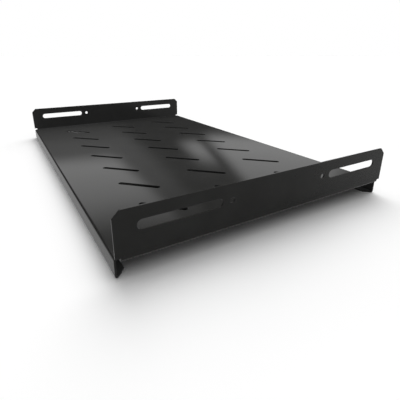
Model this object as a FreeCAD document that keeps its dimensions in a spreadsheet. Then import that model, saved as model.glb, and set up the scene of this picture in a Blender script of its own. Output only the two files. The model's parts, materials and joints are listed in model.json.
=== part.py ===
import FreeCAD, Part
import math
import os

import Sketcher

# A fixed rack shelf, cut and folded from one sheet of steel.
# The tray is flat. Its sides turn up as mounting flanges, and its front and rear edges turn down as lips
# that fold back under the tray as mitred returns. Only the slanted vents break the symmetry, so one
# quarter is modelled, mirrored twice, and then pierced with the vents.
# Frame: origin at the middle of the footprint, Z = 0 under the returns, X across the rack, Y front to back.

# Driving sizes, in millimetres and degrees.
SIZES = {
    "width": 485,              # between the outer faces of the side flanges
    "depth": 300,              # between the outer faces of the front and rear lips
    "sheet": 1.5,              # thickness of the steel
    "bend_inside": 0.5,        # inner radius of every bend
    "lip_drop": 16,            # top of the tray down to the underside of a return
    "return_reach": 9,         # outer face of a lip in to the free edge of its return
    "mitre_angle": 45,         # end of a return, against the fold line
    "lip_end_clearance": 2,    # end of a lip to the start of the flange's bend
    "flange_rise": 37.5,       # top of the tray up to the flange's top edge
    "corner_cut": 6,           # chamfer of the flange's top corners, along each edge
    "corner_round": 1.2,       # blunting of the two points of that chamfer
    "notch_clearance": 2,      # corner notch, cut past the start of the lip's bend
    "notch_straight": 0.5,     # upright side of the notch, above the flange's bend
    "notch_slope": 0.75,       # run and rise of the notch's slanted side
    "slot_inset": 17,          # end of the flange to the near end of the mounting slot
    "slot_length": 71,         # end to end
    "slot_width": 8,
    "slot_drop": 14.3,         # top edge of the flange down to the middle of the slot
    "hole_gap": 6.6,           # far end of the slot to the edge of the round hole
    "hole_size": 4.8,          # diameter
    "vent_length": 48,         # end to end
    "vent_width": 6,
    "vent_angle": 45,          # against the X axis
    "vent_columns": 7,         # across the width
    "vent_rows": 3,            # front to back
    "vent_side_margin": 62.5,  # outer face of a flange to the middle of the nearest vent
    "vent_end_margin": 65,     # outer face of a lip to the middle of the nearest vent
}

# Sizes and places that follow from the driving ones.
DERIVED = {
    "bend_outside": "bend_inside + sheet",
    "half_width": "width / 2",
    "half_depth": "depth / 2",
    "flange_inside": "half_width - sheet",
    "bend_top": "lip_drop + bend_inside",
    "flange_top": "lip_drop + flange_rise",
    "tray_end": "half_depth - bend_outside - notch_clearance",
    "lip_end": "half_width - bend_outside - lip_end_clearance",
    "return_fold": "half_depth - bend_outside",
    "return_edge": "half_depth - return_reach",
    "mitre_inset": "(return_reach - bend_outside) / tan(mitre_angle * 1 deg)",
    "corner_turn": "90 / 2",
    "corner_reach": "corner_cut + corner_round * tan(corner_turn / 2 * 1 deg)",
    "slot_height": "flange_top - slot_drop",
    "slot_radius": "slot_width / 2",
    "slot_outer_centre": "half_depth - slot_inset - slot_radius",
    "slot_inner_centre": "half_depth - slot_inset - slot_length + slot_radius",
    "hole_radius": "hole_size / 2",
    "hole_centre": "half_depth - slot_inset - slot_length - hole_gap - hole_radius",
    "vent_radius": "vent_width / 2",
    "vent_run": "(vent_length / 2 - vent_radius) * cos(vent_angle * 1 deg)",
    "vent_rise": "(vent_length / 2 - vent_radius) * sin(vent_angle * 1 deg)",
    "vent_left": "half_width - vent_side_margin - vent_run",
    "vent_right": "half_width - vent_side_margin + vent_run",
    "vent_near": "half_depth - vent_end_margin - vent_rise",
    "vent_far": "half_depth - vent_end_margin + vent_rise",
    "vent_span_across": "width - 2 * vent_side_margin",
    "vent_span_along": "depth - 2 * vent_end_margin",
}

# The numbers by which a sketch knows its two axes, and the places on a piece of geometry.
AXIS_ALONG, AXIS_UP = -1, -2
START, END, CENTRE = 1, 2, 3
ORIGIN = (AXIS_ALONG, START)

CUT_TOLERANCE = 0.01           # by how large a share a cut may miss its computed volume

doc = FreeCAD.newDocument("rack_shelf")
cells = doc.addObject("Spreadsheet::Sheet", "sizes")
cell_texts = {alias: str(value) for alias, value in SIZES.items()}
cell_texts.update({alias: f"={formula}" for alias, formula in DERIVED.items()})
for row, (alias, text) in enumerate(cell_texts.items(), start=1):
    cells.set(f"A{row}", alias)
    cells.set(f"B{row}", text)
    cells.setAlias(f"B{row}", alias)
doc.recompute()

body = doc.addObject("PartDesign::Body", "shelf")
body.Label = "shelf"


def size(alias):
    """The present value of one cell of the sheet."""
    return float(cells.get(alias))


def from_origin(role):
    """One of the body's own origin planes or axes."""
    return next(part for part in body.Origin.OriginFeatures if part.Role == role)


def new_sketch(name, plane, lift=None):
    """An empty sketch on an origin plane, lifted along the plane's normal by one cell's value."""
    sketch = body.newObject("Sketcher::SketchObject", name)
    sketch.AttachmentSupport = [(from_origin(plane), "")]
    sketch.MapMode = "FlatFace"
    if lift:
        sketch.setExpression("AttachmentOffset.Base.z", f"sizes.{lift}")
    return sketch


def line(sketch, start, end):
    """A straight edge from one (x, y) to another. Returns its number."""
    edge = Part.LineSegment(FreeCAD.Vector(*start, 0), FreeCAD.Vector(*end, 0))
    return sketch.addGeometry(edge, False)


def arc(sketch, centre, radius, first_angle, last_angle):
    """An arc that runs anticlockwise between two angles in degrees. Returns its number."""
    circle = Part.Circle(FreeCAD.Vector(*centre, 0), FreeCAD.Vector(0, 0, 1), radius)
    edge = Part.ArcOfCircle(circle, math.radians(first_angle), math.radians(last_angle))
    return sketch.addGeometry(edge, False)


def tie(sketch, kind, *places):
    """A constraint that has no size, such as Coincident, Tangent, Horizontal or Vertical."""
    sketch.addConstraint(Sketcher.Constraint(kind, *places))


def measure(sketch, kind, places, alias):
    """A constraint whose size is one cell of the sheet."""
    number = sketch.addConstraint(Sketcher.Constraint(kind, *places, size(alias)))
    sketch.setExpression(f"Constraints[{number}]", f"sizes.{alias}")


def place(sketch, point, across=None, up=None):
    """Fix a point's distances from the sketch's origin, each by one cell."""
    if across:
        measure(sketch, "DistanceX", (*ORIGIN, *point), across)
    if up:
        measure(sketch, "DistanceY", (*ORIGIN, *point), up)


def bend(sketch, centre, first_angle):
    """The two concentric quarter arcs of a bend. Returns the inner and the outer one."""
    inner = arc(sketch, centre, size("bend_inside"), first_angle, first_angle + 90)
    outer = arc(sketch, centre, size("bend_outside"), first_angle, first_angle + 90)
    tie(sketch, "Coincident", inner, CENTRE, outer, CENTRE)
    measure(sketch, "Radius", (inner,), "bend_inside")
    measure(sketch, "Radius", (outer,), "bend_outside")
    return inner, outer


def slot(sketch, one, other, radius):
    """An obround round two centres, each given by the cells of its two distances from the origin."""
    (x1, y1), (x2, y2) = [(size(across), size(up)) for across, up in (one, other)]
    heading = math.degrees(math.atan2(y2 - y1, x2 - x1))
    dx = size(radius) * math.sin(math.radians(heading))
    dy = size(radius) * math.cos(math.radians(heading))
    lower = line(sketch, (x1 + dx, y1 - dy), (x2 + dx, y2 - dy))
    far_end = arc(sketch, (x2, y2), size(radius), heading - 90, heading + 90)
    upper = line(sketch, (x2 - dx, y2 + dy), (x1 - dx, y1 + dy))
    near_end = arc(sketch, (x1, y1), size(radius), heading + 90, heading + 270)
    tie(sketch, "Tangent", lower, END, far_end, START)
    tie(sketch, "Tangent", far_end, END, upper, START)
    tie(sketch, "Tangent", upper, END, near_end, START)
    tie(sketch, "Tangent", near_end, END, lower, START)
    tie(sketch, "Equal", near_end, far_end)
    measure(sketch, "Radius", (near_end,), radius)
    place(sketch, (near_end, CENTRE), *one)
    place(sketch, (far_end, CENTRE), *other)


def pad(name, sketch, length, backwards=False):
    """Thicken a sketch along its normal, or the other way, by one cell's value."""
    feature = body.newObject("PartDesign::Pad", name)
    feature.Profile = sketch
    feature.Reversed = backwards
    feature.setExpression("Length", f"sizes.{length}")
    feature.Refine = True
    doc.recompute()
    return feature


def pocket(name, sketch, length):
    """Cut a sketch into the solid, against its normal, by one cell's value."""
    feature = body.newObject("PartDesign::Pocket", name)
    feature.Profile = sketch
    feature.setExpression("Length", f"sizes.{length}")
    feature.Refine = True
    doc.recompute()
    return feature


def mirror(name, plane):
    """Mirror the whole solid so far in an origin plane."""
    feature = body.newObject("PartDesign::Mirrored", name)
    feature.TransformMode = "Whole shape"
    feature.MirrorPlane = (from_origin(plane), [""])
    feature.Refine = True
    body.Tip = feature
    doc.recompute()
    return feature


# Tray: a quarter of the flat floor, and the bend that turns up into the side flange.
# It stops short of the lip's bend, which leaves room for the notch at the corner.
section = new_sketch("tray_section", "XZ_Plane")
bend_x = size("half_width") - size("bend_outside")
bend_z = size("bend_top")
top, under = size("lip_drop"), size("lip_drop") - size("sheet")
underside = line(section, (0, under), (bend_x, under))
inner_bend, outer_bend = bend(section, (bend_x, bend_z), -90)
bend_end = line(section, (size("half_width"), bend_z), (size("flange_inside"), bend_z))
upper_face = line(section, (bend_x, top), (0, top))
middle = line(section, (0, top), (0, under))
tie(section, "Tangent", underside, END, outer_bend, START)
tie(section, "Coincident", outer_bend, END, bend_end, START)
tie(section, "Coincident", bend_end, END, inner_bend, END)
tie(section, "Tangent", inner_bend, START, upper_face, START)
tie(section, "Coincident", upper_face, END, middle, START)
tie(section, "Coincident", middle, END, underside, START)
tie(section, "Horizontal", underside)
tie(section, "Horizontal", upper_face)
tie(section, "PointOnObject", middle, START, AXIS_UP)
tie(section, "PointOnObject", middle, END, AXIS_UP)
tie(section, "Horizontal", outer_bend, END, outer_bend, CENTRE)
tie(section, "Horizontal", inner_bend, END, inner_bend, CENTRE)
place(section, (outer_bend, END), across="half_width")
place(section, (middle, START), up="lip_drop")
pad("tray", section, "tray_end", backwards=True)

# Lip: the tray's edge, turned down and then in again. Its end stops clear of the flange's bend.
section = new_sketch("lip_section", "YZ_Plane")
lip_y, fold_y, tray_y = size("half_depth"), size("return_fold"), size("tray_end")
upper_bend_z = top - size("bend_outside")
lower_bend_z = size("bend_outside")
inside_y = lip_y - size("sheet")
inner_top, outer_top = bend(section, (fold_y, upper_bend_z), 0)
inner_foot, outer_foot = bend(section, (fold_y, lower_bend_z), -90)
upper_face = line(section, (tray_y, top), (fold_y, top))
outer_face = line(section, (lip_y, upper_bend_z), (lip_y, lower_bend_z))
foot_end = line(section, (fold_y, 0), (fold_y, size("sheet")))
inner_face = line(section, (inside_y, lower_bend_z), (inside_y, upper_bend_z))
underside = line(section, (fold_y, under), (tray_y, under))
tray_side = line(section, (tray_y, under), (tray_y, top))
tie(section, "Tangent", upper_face, END, outer_top, END)
tie(section, "Tangent", outer_top, START, outer_face, START)
tie(section, "Tangent", outer_face, END, outer_foot, END)
tie(section, "Coincident", outer_foot, START, foot_end, START)
tie(section, "Coincident", foot_end, END, inner_foot, START)
tie(section, "Tangent", inner_foot, END, inner_face, START)
tie(section, "Tangent", inner_face, END, inner_top, START)
tie(section, "Tangent", inner_top, END, underside, START)
tie(section, "Coincident", underside, END, tray_side, START)
tie(section, "Coincident", tray_side, END, upper_face, START)
tie(section, "Horizontal", upper_face)
tie(section, "Horizontal", underside)
tie(section, "Vertical", outer_face)
tie(section, "Vertical", tray_side)
tie(section, "Vertical", outer_foot, START, outer_foot, CENTRE)
tie(section, "Vertical", inner_foot, START, inner_foot, CENTRE)
tie(section, "PointOnObject", outer_foot, START, AXIS_ALONG)
place(section, (outer_face, START), across="half_depth")
place(section, (tray_side, END), across="tray_end", up="lip_drop")
pad("lip", section, "lip_end")

# Return: the strip under the tray that ends the lip, with its end mitred to clear the corner.
outline = new_sketch("return_outline", "XY_Plane")
fold_end_x, edge_end_x = size("lip_end"), size("lip_end") - size("mitre_inset")
edge_y = size("return_edge")
free_edge = line(outline, (0, edge_y), (edge_end_x, edge_y))
mitre = line(outline, (edge_end_x, edge_y), (fold_end_x, fold_y))
fold = line(outline, (fold_end_x, fold_y), (0, fold_y))
middle = line(outline, (0, fold_y), (0, edge_y))
for edge, following in ((free_edge, mitre), (mitre, fold), (fold, middle), (middle, free_edge)):
    tie(outline, "Coincident", edge, END, following, START)
tie(outline, "Horizontal", free_edge)
tie(outline, "Horizontal", fold)
tie(outline, "PointOnObject", middle, START, AXIS_UP)
tie(outline, "PointOnObject", middle, END, AXIS_UP)
place(outline, (fold, START), across="lip_end", up="return_fold")
place(outline, (free_edge, START), up="return_edge")
measure(outline, "DistanceX", (mitre, START, mitre, END), "mitre_inset")
pad("return_strip", outline, "sheet")

# Flange: half of the upright side wall. Its foot is notched beside the lip, and its top corner is
# chamfered, with the two points of the chamfer blunted.
outline = new_sketch("flange_outline", "YZ_Plane", lift="flange_inside")
flange_z = size("flange_top")
slope_z = bend_z + size("notch_straight")
step_z = slope_z + size("notch_slope")
step_y = tray_y + size("notch_slope")
reach, blunt = size("corner_reach"), size("corner_round")
turn = size("corner_turn")
diagonal = blunt * math.cos(math.radians(turn))
foot = line(outline, (0, bend_z), (tray_y, bend_z))
upright = line(outline, (tray_y, bend_z), (tray_y, slope_z))
slope = line(outline, (tray_y, slope_z), (step_y, step_z))
step = line(outline, (step_y, step_z), (lip_y, step_z))
end_edge = line(outline, (lip_y, step_z), (lip_y, flange_z - reach))
lower_point = arc(outline, (lip_y - blunt, flange_z - reach), blunt, 0, turn)
chamfer = line(
    outline,
    (lip_y - blunt + diagonal, flange_z - reach + diagonal),
    (lip_y - reach + diagonal, flange_z - blunt + diagonal),
)
upper_point = arc(outline, (lip_y - reach, flange_z - blunt), blunt, turn, 2 * turn)
top_edge = line(outline, (lip_y - reach, flange_z), (0, flange_z))
middle = line(outline, (0, flange_z), (0, bend_z))
for edge, following in ((foot, upright), (upright, slope), (slope, step), (step, end_edge)):
    tie(outline, "Coincident", edge, END, following, START)
for edge, following in ((end_edge, lower_point), (lower_point, chamfer), (chamfer, upper_point)):
    tie(outline, "Tangent", edge, END, following, START)
tie(outline, "Tangent", upper_point, END, top_edge, START)
tie(outline, "Coincident", top_edge, END, middle, START)
tie(outline, "Coincident", middle, END, foot, START)
for level in (foot, step, top_edge):
    tie(outline, "Horizontal", level)
for plumb in (upright, end_edge):
    tie(outline, "Vertical", plumb)
tie(outline, "PointOnObject", middle, START, AXIS_UP)
tie(outline, "PointOnObject", middle, END, AXIS_UP)
tie(outline, "Equal", lower_point, upper_point)
measure(outline, "Radius", (lower_point,), "corner_round")
measure(outline, "DistanceY", (upright, START, upright, END), "notch_straight")
measure(outline, "DistanceX", (slope, START, slope, END), "notch_slope")
measure(outline, "DistanceY", (slope, START, slope, END), "notch_slope")
measure(outline, "DistanceX", (top_edge, START, end_edge, END), "corner_reach")
measure(outline, "DistanceY", (end_edge, END, top_edge, START), "corner_reach")
place(outline, (upright, START), across="tray_end", up="bend_top")
place(outline, (end_edge, START), across="half_depth")
place(outline, (middle, START), up="flange_top")
flange = pad("flange", outline, "sheet")

# Mounting slot and the round hole beside it, cut through the flange from its outer face.
outline = new_sketch("mounting_outline", "YZ_Plane", lift="half_width")
slot(outline, ("slot_inner_centre", "slot_height"), ("slot_outer_centre", "slot_height"), "slot_radius")
hole_middle = FreeCAD.Vector(size("hole_centre"), size("slot_height"), 0)
hole = outline.addGeometry(Part.Circle(hole_middle, FreeCAD.Vector(0, 0, 1), size("hole_radius")), False)
measure(outline, "Radius", (hole,), "hole_radius")
place(outline, (hole, CENTRE), "hole_centre", "slot_height")
mounting = pocket("mounting_openings", outline, "sheet")

# The quarter becomes the whole shelf.
mirror("front_to_back", "XZ_Plane")
blank = mirror("side_to_side", "YZ_Plane")

# Vents: slanted slots in a grid over the tray. The first is pierced in the +X, +Y corner.
outline = new_sketch("vent_outline", "XY_Plane", lift="lip_drop")
slot(outline, ("vent_left", "vent_near"), ("vent_right", "vent_far"), "vent_radius")
first_vent = pocket("first_vent", outline, "sheet")
vents = body.newObject("PartDesign::LinearPattern", "vents")
vents.Originals = [first_vent]
vents.Direction = (from_origin("X_Axis"), [""])
vents.Reversed = True
vents.setExpression("Length", "sizes.vent_span_across")
vents.setExpression("Occurrences", "sizes.vent_columns")
vents.Direction2 = (from_origin("Y_Axis"), [""])
vents.Reversed2 = True
vents.setExpression("Length2", "sizes.vent_span_along")
vents.setExpression("Occurrences2", "sizes.vent_rows")
vents.Refine = True
body.Tip = vents
doc.recompute()

# Every feature must have been built, and every opening must have gone through the sheet.
for item in doc.Objects:
    failed = [state for state in item.State if state in ("Invalid", "Error")]
    if failed:
        raise RuntimeError(f"{item.Label} is {failed}")
    if item.isDerivedFrom("Sketcher::SketchObject") and item.solve() != 0:
        raise RuntimeError(f"{item.Label} can't be solved")
shape = body.Shape
if shape.isNull() or not shape.isValid() or len(shape.Solids) != 1:
    raise RuntimeError("the shelf isn't one valid solid")


def obround_area(length, width):
    """The area of a slot with round ends."""
    return width * (length - width) + math.pi * width ** 2 / 4


opening_area = obround_area(size("slot_length"), size("slot_width")) + math.pi * size("hole_radius") ** 2
vent_area = obround_area(size("vent_length"), size("vent_width"))
vent_count = size("vent_columns") * size("vent_rows")
for name, before, after, area in (
    ("mounting opening", flange, mounting, opening_area),
    ("vent", blank, vents, vent_area * vent_count),
):
    removed = before.Shape.Volume - after.Shape.Volume
    if abs(removed - area * size("sheet")) > CUT_TOLERANCE * removed:
        raise RuntimeError(f"a {name} isn't cut through")

os.makedirs("parts", exist_ok=True)
shape.exportStep(f"parts/{body.Label}.step")
box = shape.BoundBox
print(f"{body.Label}: {box.XLength:.2f} x {box.YLength:.2f} x {box.ZLength:.2f} mm, {shape.Volume:.0f} mm3")
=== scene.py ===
import json

import bmesh
import bpy
import numpy as np
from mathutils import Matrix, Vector


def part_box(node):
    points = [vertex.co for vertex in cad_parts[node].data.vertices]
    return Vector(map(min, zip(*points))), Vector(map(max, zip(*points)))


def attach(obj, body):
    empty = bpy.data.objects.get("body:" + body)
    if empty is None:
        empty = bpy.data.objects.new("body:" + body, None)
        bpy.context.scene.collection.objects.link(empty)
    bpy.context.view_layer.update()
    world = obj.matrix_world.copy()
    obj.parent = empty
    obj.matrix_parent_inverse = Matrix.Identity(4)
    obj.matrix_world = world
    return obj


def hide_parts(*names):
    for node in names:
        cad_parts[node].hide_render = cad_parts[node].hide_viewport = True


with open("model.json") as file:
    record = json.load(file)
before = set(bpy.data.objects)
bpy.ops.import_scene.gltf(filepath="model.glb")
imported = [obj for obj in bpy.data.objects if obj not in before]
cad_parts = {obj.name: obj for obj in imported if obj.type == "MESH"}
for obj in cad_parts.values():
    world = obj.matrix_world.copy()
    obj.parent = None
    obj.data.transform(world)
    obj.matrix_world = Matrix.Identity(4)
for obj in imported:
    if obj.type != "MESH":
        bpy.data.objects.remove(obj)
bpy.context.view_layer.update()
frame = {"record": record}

# The folded sheet: the whole shelf is one blank of 1.5 mm steel, cut by laser and folded in a press. Its
# sides turn up as mounting flanges. Its front and rear edges turn down as lips, and in as mitred returns.
# The blank is laid out flat here, in millimetres, with its openings, and then its points are folded.
MM = 0.001
half_width, half_depth, flange_top = (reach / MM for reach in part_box("shelf")[1])
mounts = {mount["name"]: mount for mount in frame["record"]["mounts"]}
tray_top = mounts["tray_top"]["pos_m"][2] / MM

sheet = 1.5
bend_inside = 0.5
bend_outside = bend_inside + sheet
return_reach = 9                        # from a lip's outer face to the free edge of its return
lip_end_clearance = 2                   # from a lip's end to the start of the flange's fold
notch_clearance = 2                     # from the tray's end to the start of the lip's fold
coat_round = 0.12                       # how far the coat rounds a cut edge

# Places on the blank: "across" runs from the middle and up a flange, "along" from the middle and round a
# lip to the free edge of its return. A fold takes up the length of its arc at the middle of the sheet.
fold_length = np.pi / 2 * (bend_inside + sheet / 2)
flange_fold = half_width - bend_outside
flange_foot = tray_top + bend_inside
lip_fold = half_depth - bend_outside
lip_height = tray_top - 2 * bend_outside
lip_side = flange_fold - lip_end_clearance
tray_end = lip_fold - notch_clearance
return_start = lip_fold + 2 * fold_length + lip_height
return_end = return_start + return_reach - bend_outside


def up_flange(height):
    """Place across the blank of a height on a flange: past its fold, then straight up."""
    return flange_fold + fold_length + height - flange_foot


def folded(blank):
    """Fold blank points (across, along, height in the sheet) into the shelf, as (x, y, z).

    A flange's points turn up, at bend_outside - height from the axis of its fold. A lip's points turn down,
    drop, and turn in, at bend_inside + height from the axes of its folds. No point takes part in both."""
    across, along, height = np.moveaxis(blank, -1, 0)
    beyond = np.maximum(np.abs(across) - flange_fold, 0)
    turn = np.minimum(beyond / fold_length, 1) * np.pi / 2
    radius = bend_outside - height
    x = np.abs(across) - beyond + radius * np.sin(turn)
    rise = radius * (1 - np.cos(turn)) + np.maximum(beyond - fold_length, 0)
    on_tray = beyond == 0
    beyond = np.maximum(np.abs(along) - lip_fold, 0) * on_tray
    down = np.clip(beyond / fold_length, 0, 1) * np.pi / 2
    drop = np.clip(beyond - fold_length, 0, lip_height)
    inward = np.clip((beyond - fold_length - lip_height) / fold_length, 0, 1) * np.pi / 2
    back = np.maximum(beyond - 2 * fold_length - lip_height, 0)
    radius = bend_inside + height
    y = np.abs(along) - beyond + radius * np.sin(down) * np.cos(inward) - back
    fall = radius * (1 - np.cos(down)) + drop + radius * np.sin(inward)
    z = tray_top - sheet + height + rise - fall
    return np.stack([np.sign(across) * x, np.sign(along) * y, z], axis=-1)


# Tray: flat, with slanted vents in columns and rows. One quarter of the sheet round them is laid out first.
# The field of vents, the tray's margins and the folds share their places, so that they meet point to point.
vent_length, vent_width = 48, 6
vent_angle = np.pi / 4
vent_columns, vent_rows = 7, 3
vent_side_margin, vent_end_margin = 62.5, 65       # from the shelf's outside to the nearest vents' middles
vent_arc_steps, vent_straight_steps = 10, 6
vent_steps = vent_arc_steps + vent_straight_steps
fold_steps = 8                                     # facets in a fold's quarter turn
edge_steps = 2                                     # steps in each plain strip beside a fold or an edge


def divided(places, counts):
    """Places joined by equal steps, with a count of steps for each gap."""
    gaps = zip(places, places[1:], counts)
    return np.concatenate([*(np.linspace(a, b, n, endpoint=False) for a, b, n in gaps), places[-1:]])


vent_spacing = np.array([
    2 * (half_width - vent_side_margin) / (vent_columns - 1),
    2 * (half_depth - vent_end_margin) / (vent_rows - 1),
])
field_across = np.linspace(0, vent_spacing[0] * vent_columns / 2, vent_columns * vent_steps // 2 + 1)
field_along = np.linspace(0, vent_spacing[1] * vent_rows / 2, vent_rows * vent_steps // 2 + 1)
lip_side_inset, tray_end_inset = lip_side - coat_round, tray_end - coat_round
margin_across = divided([field_across[-1], lip_side_inset], [edge_steps])
margin_along = divided([field_along[-1], tray_end_inset], [edge_steps])
fold_across = divided([lip_side_inset, flange_fold, flange_fold + fold_length], [1, fold_steps])
lip_along = divided(
    [tray_end_inset, lip_fold, lip_fold + fold_length, return_start - fold_length, return_start],
    [1, fold_steps, edge_steps, fold_steps],
)
return_along = divided([return_start, return_end - coat_round], [edge_steps])
strip_along = np.concatenate([margin_along, lip_along[1:], return_along[1:]])
lip_start = len(margin_along) - 1                  # where the lip begins among the strip's places

# Lips: strips of the sheet run from the tray's margin over the lip and its return. The return's end slopes
# in from the fold by its mitre, at 45 degrees. A cut edge's rounding starts at the inset curve beside it.
mitre_run = return_reach - bend_outside
mitre_run_inset = mitre_run - coat_round * (2 - np.sqrt(2))
mitre_share = np.clip((strip_along - return_start) / (strip_along[-1] - return_start), 0, 1)
grids = []


def line(across, along):
    """Points of the blank in a row, from their places across and along. One of the two may be a number."""
    return np.stack(np.broadcast_arrays(across, along), axis=-1)


def lattice(across, along):
    """Every pairing of places across with places along."""
    return np.stack(np.meshgrid(across, along, indexing="ij"), axis=-1)


def ruled(first, last, steps):
    """Straight lines between partner points of two curves, divided into equal steps."""
    share = np.linspace(0, 1, steps + 1)[:, None, None]
    return (1 - share) * first + share * last


def add_skins(points, closed=False):
    """The two faces of the sheet over a grid of blank places: one at its underside and one at its top."""
    if closed:
        points = np.concatenate([points, points[:, :1]], axis=1)
    for height in (0, sheet):
        grids.append(np.insert(points, 2, height, axis=-1))


end_inset = line(lip_side_inset - mitre_share * mitre_run_inset, strip_along)
end_edge = line(lip_side - mitre_share * mitre_run, strip_along + mitre_share * coat_round)
end_edge[lip_start, 1] = tray_end
add_skins(lattice(field_across, strip_along))
add_skins(ruled(line(field_across[-1], strip_along), end_inset, edge_steps))
add_skins(lattice(np.concatenate([margin_across, fold_across[1:]]), field_along))
add_skins(lattice(fold_across, margin_along))

# Flanges: each stands on its fold, and is screwed to the cabinet's posts through its slots and holes. Its
# foot takes over the tray's places, and they spread to those of the openings. Its top corner is cut off.
corner_cut = 6                                     # chamfer of the top corner
corner_round = 1.2                                 # blunting of the chamfer's two points
notch_straight = 0.5                               # upright side of the notch in the flange's foot
notch_slope = 0.75                                 # run and rise of its slanted side
round_steps = 3                                    # facets in the rounding of a corner or a cut edge
plain_steps, arc_steps, straight_steps = 4, 8, 2
slots, holes = mounts["right_flange_slots"], mounts["right_flange_holes"]
opening_height = up_flange(slots["pos_m"][2] / MM)
slot_middle, hole_middle = (mount["dims"]["spacing_x_mm"] / 2 for mount in (slots, holes))
slot_radius, hole_radius = (mount["dims"]["hole_r_mm"] for mount in (slots, holes))
slot_half = slots["dims"]["slot_length_mm"] / 2
slot_run = slot_half - slot_radius
web = (slot_middle - slot_half - hole_middle - hole_radius) / 2
opening_box = opening_height + (slot_radius + web) * np.array([-1, 1])
foot, top = flange_fold + fold_length, up_flange(flange_top)
top_inset = top - coat_round
plain_along = divided([0, hole_middle - hole_radius - web], [plain_steps])
hole_along = divided([plain_along[-1], hole_middle + hole_radius + web], [arc_steps])
slot_along = divided(
    [hole_along[-1], slot_middle - slot_run, slot_middle + slot_run, slot_middle + slot_half + web],
    [arc_steps // 2, 2 * straight_steps, arc_steps // 2],
)
flange_along = np.concatenate([plain_along, hole_along[1:], slot_along[1:]])
opening_across = divided(opening_box, [arc_steps])
inner_across = divided([foot, *opening_box, top_inset], [plain_steps, arc_steps, edge_steps])
inner_along = np.interp(inner_across, [foot, opening_box[0]], [field_along[-1], flange_along[-1]])


def flange_end(inset):
    """The flange's end from its foot to its top, so far inside the edge: the notch's three points, the
    upright, and the two eighths of a circle that blunt the chamfer's points, one for each inner place."""
    diagonal = inset * (np.sqrt(2) - 1)
    step = up_flange(flange_foot + notch_straight + notch_slope)
    notch = [
        [foot, tray_end - inset],
        [step - notch_slope + diagonal, tray_end - inset],
        [step + inset, tray_end + notch_slope - diagonal],
    ]
    turn = np.linspace(0, np.pi / 4, round_steps + 1)
    blunt = (corner_round - inset) * line(np.sin(turn), np.cos(turn))
    reach = corner_cut + corner_round * np.tan(np.pi / 8)
    upright_steps = len(inner_across) - len(notch) - 2 * len(blunt)
    return np.concatenate([
        notch,
        line(divided([step + inset, top - reach], [upright_steps])[:-1], half_depth - inset),
        blunt + [top - reach, half_depth - corner_round],
        blunt[::-1, ::-1] + [top - corner_round, half_depth - reach],
    ])


flange_edge, flange_inset = flange_end(0), flange_end(coat_round)
add_skins(ruled(line(foot, field_along), line(opening_box[0], flange_along), plain_steps))
add_skins(lattice(opening_across, plain_along))
add_skins(ruled(line(opening_box[1], flange_along), line(top_inset, flange_along), edge_steps))
add_skins(ruled(line(inner_across, inner_along), flange_inset, edge_steps))

# Cut edges: the laser pierces each slot and hole, and runs once round the outside of the blank. The coat
# rounds the edges that it leaves.
hole_at, slot_at = np.array([opening_height, hole_middle]), np.array([opening_height, slot_middle])


def obround(middle, run, radius, arc_steps, straight_steps):
    """Outline of a round-ended slot, anticlockwise from its tip: the middle, plus the run to an end's
    centre times a share that goes from 1 to -1 along the straight, plus the radius at the outward angle.
    The second half is the first, given half a turn."""
    quarter = np.linspace(0, np.pi / 2, arc_steps + 1)
    straight = np.full(2 * straight_steps, np.pi / 2)
    angle = np.arctan2(run[1], run[0]) + np.concatenate([quarter, straight, quarter[1:] + np.pi / 2])
    passing = np.linspace(1, -1, 2 * straight_steps + 1)
    share = np.concatenate([np.ones(arc_steps), passing, -np.ones(arc_steps)])
    outward = np.stack([np.cos(angle), np.sin(angle)], axis=-1)
    half = (share[:, None] * run + radius * outward)[:-1]
    return middle + np.concatenate([half, -half])


def rectangle(across, along):
    """Outline of a rectangle through places across and along it, anticlockwise from its highest corner."""
    points = lattice(across, along)
    return np.concatenate([points[:0:-1, -1], points[0, :0:-1], points[:-1, 0], points[-1, :-1]])


def add_cut_edge(edge, inset, closed=False):
    """The wall left by the laser, carried along an edge: a quarter round from the underside, a straight,
    and a quarter round to the top. Each point lies a share of the way from the edge to its inset curve."""
    if closed:
        edge, inset = (np.concatenate([curve, curve[:1]]) for curve in (edge, inset))
    angle = np.linspace(0, np.pi / 2, round_steps + 1)
    share = 1 - np.sin(angle)
    height = coat_round * (1 - np.cos(angle))
    share = np.concatenate([share, share[::-1]])[:, None, None]
    height = np.concatenate([height, sheet - height[::-1]])[:, None, None]
    points = edge + share * (inset - edge)
    grids.append(np.concatenate([points, np.broadcast_to(height, points.shape[:2] + (1,))], axis=-1))


def pierce(middle, run, radius, arc_steps, straight_steps, across, along):
    """An opening in its rectangle of sheet: the cut edge, and the skins from there out to the rectangle.
    The outline is turned so that it starts beside the rectangle's highest corner."""
    turned = round((np.arctan2(run[1], run[0]) / (np.pi / 2) - 0.5) * arc_steps)
    edge, inset = (
        np.roll(obround(middle, run, reach, arc_steps, straight_steps), turned, axis=0)
        for reach in (radius, radius + coat_round)
    )
    add_cut_edge(edge, inset, closed=True)
    add_skins(np.stack([inset, rectangle(across, along)]), closed=True)


def round_quarter(end, flange, inset):
    """The laser's path, so far inside the edge: along the return's free edge, up its mitre and the lip's
    end, through the corner notch, up the flange's end, and back along its top."""
    free_across = divided([field_across[-1], end[-1, 0]], [edge_steps])[1:-1]
    corner = np.linspace(flange[-1], [top - inset, flange_along[-1]], edge_steps + 1)
    return np.concatenate([
        line(np.concatenate([field_across, free_across]), end[-1, 1]),
        end[lip_start:][::-1],
        line(fold_across[1:], tray_end - inset),
        flange[1:],
        corner[1:-1],
        line(top - inset, flange_along[::-1]),
    ])


pierce(hole_at, np.array([0, 0]), hole_radius, arc_steps, 0, opening_across, hole_along)
pierce(slot_at, np.array([0, slot_run]), slot_radius, arc_steps, straight_steps, opening_across, slot_along)
add_cut_edge(round_quarter(end_edge, flange_edge, 0), round_quarter(end_inset, flange_inset, coat_round))

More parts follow.
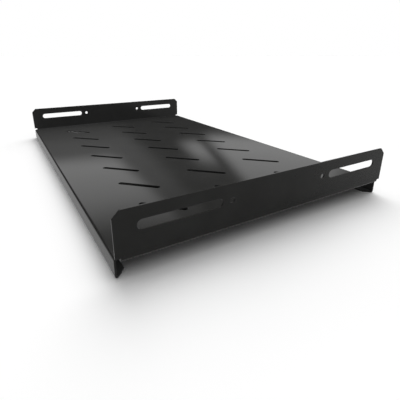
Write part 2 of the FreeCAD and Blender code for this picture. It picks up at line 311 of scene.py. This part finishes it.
# The whole sheet: the quarter is mirrored into four, and the vents are pierced in the field that is left in
# the middle. All grids become one closed mesh: faces are woven, points folded, and the shared ones merged.
grids = [grid * [side, end, 1] for side in (1, -1) for end in (1, -1) for grid in grids]
vent_run = (vent_length - vent_width) / 2 * np.array([np.cos(vent_angle), np.sin(vent_angle)])
for column in range(vent_columns):
    for row in range(vent_rows):
        middle = vent_spacing * [column - (vent_columns - 1) / 2, row - (vent_rows - 1) / 2]
        across, along = np.linspace(middle - vent_spacing / 2, middle + vent_spacing / 2, vent_steps + 1).T
        pierce(middle, vent_run, vent_width / 2, vent_arc_steps, vent_straight_steps, across, along)

faces, count = [], 0
for grid in grids:
    rows, columns = grid.shape[:2]
    number = count + np.arange(rows * columns).reshape(rows, columns)
    corners = number[:-1, :-1], number[1:, :-1], number[1:, 1:], number[:-1, 1:]
    faces.append(np.stack(corners, axis=-1).reshape(-1, 4))
    count += rows * columns
points = folded(np.concatenate([grid.reshape(-1, 3) for grid in grids])) * MM
mesh = bpy.data.meshes.new("folded_sheet")
mesh.from_pydata(points, [], np.concatenate(faces))
shell = bmesh.new()
shell.from_mesh(mesh)
bmesh.ops.remove_doubles(shell, verts=shell.verts, dist=0.001 * MM)
bmesh.ops.recalc_face_normals(shell, faces=shell.faces)
shell.to_mesh(mesh)
shell.free()
mesh.shade_smooth()
shelf = bpy.data.objects.new("folded_sheet", mesh)
bpy.context.scene.collection.objects.link(shelf)
shading = shelf.modifiers.new("flats_stay_flat", "WEIGHTED_NORMAL")
shading.mode = "FACE_AREA"
shading.weight = 100
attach(shelf, "root")
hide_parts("shelf")
shelf.visible_glossy = False

# Black powder coat: a thick semi-gloss polyester, baked on. It flows out to a faint orange peel a
# millimetre wide, over a finer grain, and its gloss and tone drift a little from place to place.
coat = bpy.data.materials.new("black_powder_coat")
coat.use_nodes = True
nodes, links = coat.node_tree.nodes, coat.node_tree.links
shader = nodes["Principled BSDF"]
shader.inputs["IOR"].default_value = 1.45
surface = nodes.new("ShaderNodeTexCoord").outputs


def feed(socket, value):
    """Give a socket a plain number, or join it to what comes out of another node."""
    if isinstance(value, (int, float)):
        socket.default_value = value
    else:
        links.new(value, socket)


def maths(operation, *values):
    """One step of arithmetic, in the material that is being made."""
    step = nodes.new("ShaderNodeMath")
    step.operation = operation
    for socket, value in zip(step.inputs, values):
        feed(socket, value)
    return step.outputs[0]


def product(first, *others):
    """All the values multiplied together."""
    for other in others:
        first = maths("MULTIPLY", first, other)
    return first


def spread(value, first, last, low, high, curve="LINEAR"):
    """What goes from low to high while the value goes from first to last, and stays level beyond."""
    step = nodes.new("ShaderNodeMapRange")
    step.interpolation_type = curve
    given = {"Value": value, "From Min": first, "From Max": last, "To Min": low, "To Max": high}
    for name, number in given.items():
        feed(step.inputs[name], number)
    return step.outputs["Result"]


def parts(vector):
    """The X, Y and Z of a vector."""
    split = nodes.new("ShaderNodeSeparateXYZ")
    links.new(vector, split.inputs[0])
    return tuple(split.outputs)


def coat_noise(scale, detail, roughness=0.5):
    """Noise over the shelf, with so many bumps to the metre."""
    noise = nodes.new("ShaderNodeTexNoise")
    noise.inputs["Scale"].default_value = scale
    noise.inputs["Detail"].default_value = detail
    noise.inputs["Roughness"].default_value = roughness
    links.new(surface["Object"], noise.inputs["Vector"])
    return noise.outputs["Fac"]


def coat_drift(noise, low, high):
    """The noise's middle part spread from one value to another."""
    return spread(noise, 0.3, 0.7, low, high)


smoothest, roughest = 0.06, 0.09
links.new(coat_drift(coat_noise(9, 3), smoothest, roughest), shader.inputs["Roughness"])
tone = nodes.new("ShaderNodeMix")
tone.data_type = "RGBA"
tone.inputs["A"].default_value = (0.019, 0.019, 0.018, 1)
tone.inputs["B"].default_value = (0.025, 0.025, 0.024, 1)
links.new(coat_drift(coat_noise(25, 4, roughness=0.6), 0, 1), tone.inputs["Factor"])
links.new(tone.outputs["Result"], shader.inputs["Base Color"])
peel, grain = nodes.new("ShaderNodeBump"), nodes.new("ShaderNodeBump")
peel.inputs["Distance"].default_value = 0.003 * MM
grain.inputs["Distance"].default_value = 0.0003 * MM
links.new(coat_noise(900, 1), peel.inputs["Height"])
links.new(coat_noise(5000, 2), grain.inputs["Height"])
links.new(peel.outputs["Normal"], grain.inputs["Normal"])
links.new(grain.outputs["Normal"], shader.inputs["Normal"])

# Dry coat, which is painted shade: the coat's reflection is turned down to a little gloss in the vents,
# inside the lips, and on the walls of the mounting openings, where shade falls. It is full on the flanges, on
# the lips' outer faces and on the tray's top.
seam = 0.1                                         # keeps the dry coat's limits clear of the faces
shaded_gloss, full_gloss = 0.13, 0.5
across, along, up = (maths("ABSOLUTE", place) for place in parts(surface["Object"]))
on_flange = maths("GREATER_THAN", across, (lip_side - seam) * MM)
on_lip = maths("GREATER_THAN", along, (half_depth - sheet + seam) * MM)
on_tray = maths("GREATER_THAN", up, (tray_top - coat_round) * MM)
outside = maths("MAXIMUM", maths("MAXIMUM", on_flange, on_lip), on_tray)
from_opening = maths("ABSOLUTE", maths("SUBTRACT", up, slots["pos_m"][2]))
shaded_opening_wall = product(
    maths("LESS_THAN", maths("ABSOLUTE", parts(surface["Normal"])[0]), np.cos(np.pi / 4)),
    maths("LESS_THAN", from_opening, (slot_radius + web / 2) * MM),
    maths("LESS_THAN", along, (half_depth - sheet) * MM),
)
# The coat's specular level, with its painted shade in the vents, inside the lips and on the opening walls.
gloss = spread(maths("SUBTRACT", outside, shaded_opening_wall), 0, 1, shaded_gloss, full_gloss)
links.new(gloss, shader.inputs["Specular IOR Level"])
mesh.materials.append(coat)

# Floor: a white studio floor, level with the underside of the returns. It isn't part of the shelf.
# Beneath the tray it carries painted shade, a near-black patch, so that nothing shines up through the vents.
# To the coat it glows a soft grey, a painted reflection without the shelf's shadow, dimmer beneath the tray
# and darker beyond the right flange.
floor_reach = 40                                   # metres
floor_mesh = bpy.data.meshes.new("studio_floor")
floor_corners = np.array([[-1, -1, 0], [1, -1, 0], [1, 1, 0], [-1, 1, 0]]) * floor_reach
floor_mesh.from_pydata(floor_corners, [], [[0, 1, 2, 3]])
floor = bpy.data.objects.new("studio_floor", floor_mesh)
bpy.context.scene.collection.objects.link(floor)
paint = bpy.data.materials.new("white_floor")
paint.use_nodes = True
nodes, links = paint.node_tree.nodes, paint.node_tree.links


def ramp(value, first, last):
    """A smooth rise from 0 to 1 while the value goes from first to last, up or down."""
    start, end = sorted((first, last))
    return spread(value, start, end, int(first > last), int(first < last), curve="SMOOTHSTEP")


across, along = parts(nodes.new("ShaderNodeTexCoord").outputs["Object"])[:2]
# The painted shade's reach from the middle: past the left flange, short of the right one, and short of the
# ends.
dark_left, dark_right, dark_ends = half_width + 14, half_width - 26.5, half_depth - 5
fade_across, fade_along = 24, 25
dark_middle, dark_half = (dark_right - dark_left) / 2, (dark_right + dark_left) / 2
from_middle = maths("ABSOLUTE", maths("SUBTRACT", across, dark_middle * MM))
beneath = product(
    ramp(from_middle, dark_half * MM, (dark_half - fade_across) * MM),
    ramp(maths("ABSOLUTE", along), dark_ends * MM, (dark_ends - fade_along) * MM),
)
# Painted shade: the floor's white turns near-black beneath the tray.
shade = nodes.new("ShaderNodeMix")
shade.data_type = "RGBA"
shade.inputs["A"].default_value = (0.98, 0.98, 0.98, 1)
shade.inputs["B"].default_value = (0.06, 0.06, 0.06, 1)
links.new(beneath, shade.inputs["Factor"])
white = nodes["Principled BSDF"]
links.new(shade.outputs["Result"], white.inputs["Base Color"])
white.inputs["Roughness"].default_value = 1
white.inputs["Specular IOR Level"].default_value = 0

# Painted reflection: the floor glows for glossy rays only. It is grey beside the shelf and beyond its right
# flange, and less beneath the tray as painted shade.
grey, front_grey, rear_grey = 0.38, 0.11, 0.3      # beside the shelf, and beyond its right flange
reflection_shade_beneath = 0.74                                # share of the grey that is left beneath the tray
grey_front, grey_rear = 30, 230                    # where it rises along the floor, beyond the flange
grey_change = 12.5                                 # how far its change reaches from the flange, each way
painted_reflection_share = 0.92                              # how much of the floor is this grey to the coat
beyond_flange = spread(along, grey_front * MM, grey_rear * MM, front_grey, rear_grey)
flange_inner, flange_outer = (half_width - grey_change) * MM, (half_width + grey_change) * MM
painted_reflection_grey = spread(across, flange_inner, flange_outer, grey, beyond_flange)
# The glow that the coat mirrors as the floor: a painted reflection, with no shadow of the shelf in it.
painted_reflection_glow = nodes.new("ShaderNodeEmission")
links.new(product(painted_reflection_grey, spread(beneath, 0, 1, 1, reflection_shade_beneath)), painted_reflection_glow.inputs["Strength"])
seen = nodes.new("ShaderNodeMixShader")
glossy_ray = nodes.new("ShaderNodeLightPath").outputs["Is Glossy Ray"]
links.new(product(glossy_ray, painted_reflection_share), seen.inputs[0])
links.new(white.outputs[0], seen.inputs[1])
links.new(painted_reflection_glow.outputs[0], seen.inputs[2])
links.new(seen.outputs[0], nodes["Material Output"].inputs["Surface"])
floor_mesh.materials.append(paint)

# Light: a dim studio under a bright ceiling, with a pale wall on the camera's side, and one broad soft
# lamp high at the back. The camera sees a white backdrop all round. The coat sees it only through windows
# with soft edges between dark curtains, and as the pale wall.
world = bpy.data.worlds.new("studio")
bpy.context.scene.world = world
world.use_nodes = True
nodes, links = world.node_tree.nodes, world.node_tree.links
nodes.clear()


def total(first, *others):
    """All the values added together."""
    for other in others:
        first = maths("ADD", first, other)
    return first


def patch(strength, *edges):
    """A part of the studio's surroundings, of one strength. Each edge names an angle, and the degrees of it
    at which the patch begins and has its full strength."""
    return product(strength, *(ramp(angle, begins, full) for angle, begins, full in edges))


direction = parts(nodes.new("ShaderNodeTexCoord").outputs["Generated"])
heading = maths("DEGREES", maths("ARCTAN2", direction[1], direction[0]))
elevation = maths("DEGREES", maths("ARCSINE", direction[2]))
leaning = maths("ADD", heading, elevation)         # the same all along a window's slanted side
window_left = (heading, 180, 175)
window_head = (elevation, 32.5, 22.5)
wall = (heading, -115, -95), (heading, 75, 55), (elevation, 40, 30)
room, low_band, ceiling, lit_wall, seen_wall = 0.03, 0.05, 0.65, 0.15, 0.45

studio_light = total(
    room,
    patch(low_band, (elevation, 8, 20), (elevation, 28, 21)),
    patch(ceiling, (elevation, 29.5, 41.5)),
    patch(lit_wall, *wall),
)
# From the left: a bright window with a faint one beside it, a narrow one, and the wide one at the right.
windows = total(
    patch(0.64, window_left, (leaning, 178.8, 182.2), (elevation, 15.4, 18), window_head),
    patch(0.15, window_left, (leaning, 172, 176.5), (elevation, 10, 15), window_head),
    patch(0.65, (leaning, 162.5, 164), (leaning, 168.5, 164.8), (elevation, 13.7, 15.4), (elevation, 20, 16)),
    patch(0.77, (heading, 120, 128.5), (leaning, 162.9, 159.5), (elevation, 12.6, 14.4), (elevation, 50, 35)),
    patch(seen_wall, *wall),
)
ray = nodes.new("ShaderNodeLightPath").outputs
straight_ray = maths("MAXIMUM", ray["Is Camera Ray"], ray["Is Transmission Ray"])
seen_white = maths("MAXIMUM", straight_ray, product(ray["Is Glossy Ray"], windows))
studio, backdrop = nodes.new("ShaderNodeBackground"), nodes.new("ShaderNodeBackground")
studio.inputs["Color"].default_value = (1, 1, 1, 1)
backdrop.inputs["Color"].default_value = (1, 1, 1, 1)
links.new(studio_light, studio.inputs["Strength"])
mixer, output = nodes.new("ShaderNodeMixShader"), nodes.new("ShaderNodeOutputWorld")
links.new(seen_white, mixer.inputs[0])
links.new(studio.outputs[0], mixer.inputs[1])
links.new(backdrop.outputs[0], mixer.inputs[2])
links.new(mixer.outputs[0], output.inputs["Surface"])

lamp = bpy.data.lights.new("soft_key", "SUN")
lamp.energy = 2.3
lamp.angle = np.radians(65)
key = bpy.data.objects.new("soft_key", lamp)
bpy.context.scene.collection.objects.link(key)
key_from = Vector((-0.707, 0.707, 1.11))
key.rotation_euler = key_from.to_track_quat("Z", "Y").to_euler()
key.visible_glossy = False

# Camera: low at the front right corner and close to the right flange, as the shelf is seen on a bench. Its
# lens is moderately wide, and is shifted a little.
lens = bpy.data.cameras.new("camera")
lens.sensor_width = 36
lens.lens = 29.45
lens.shift_x = 0.0095
lens.shift_y = -0.077
lens.clip_start = 0.01
camera = bpy.data.objects.new("camera", lens)
bpy.context.scene.collection.objects.link(camera)
camera.location = (0.43116, -0.19879, 0.14797)
looks_along = Vector((-0.8112, 0.4825, -0.3302))
camera.rotation_euler = looks_along.to_track_quat("-Z", "Y").to_euler()
bpy.context.scene.camera = camera
bpy.context.scene.view_settings.view_transform = "Standard"
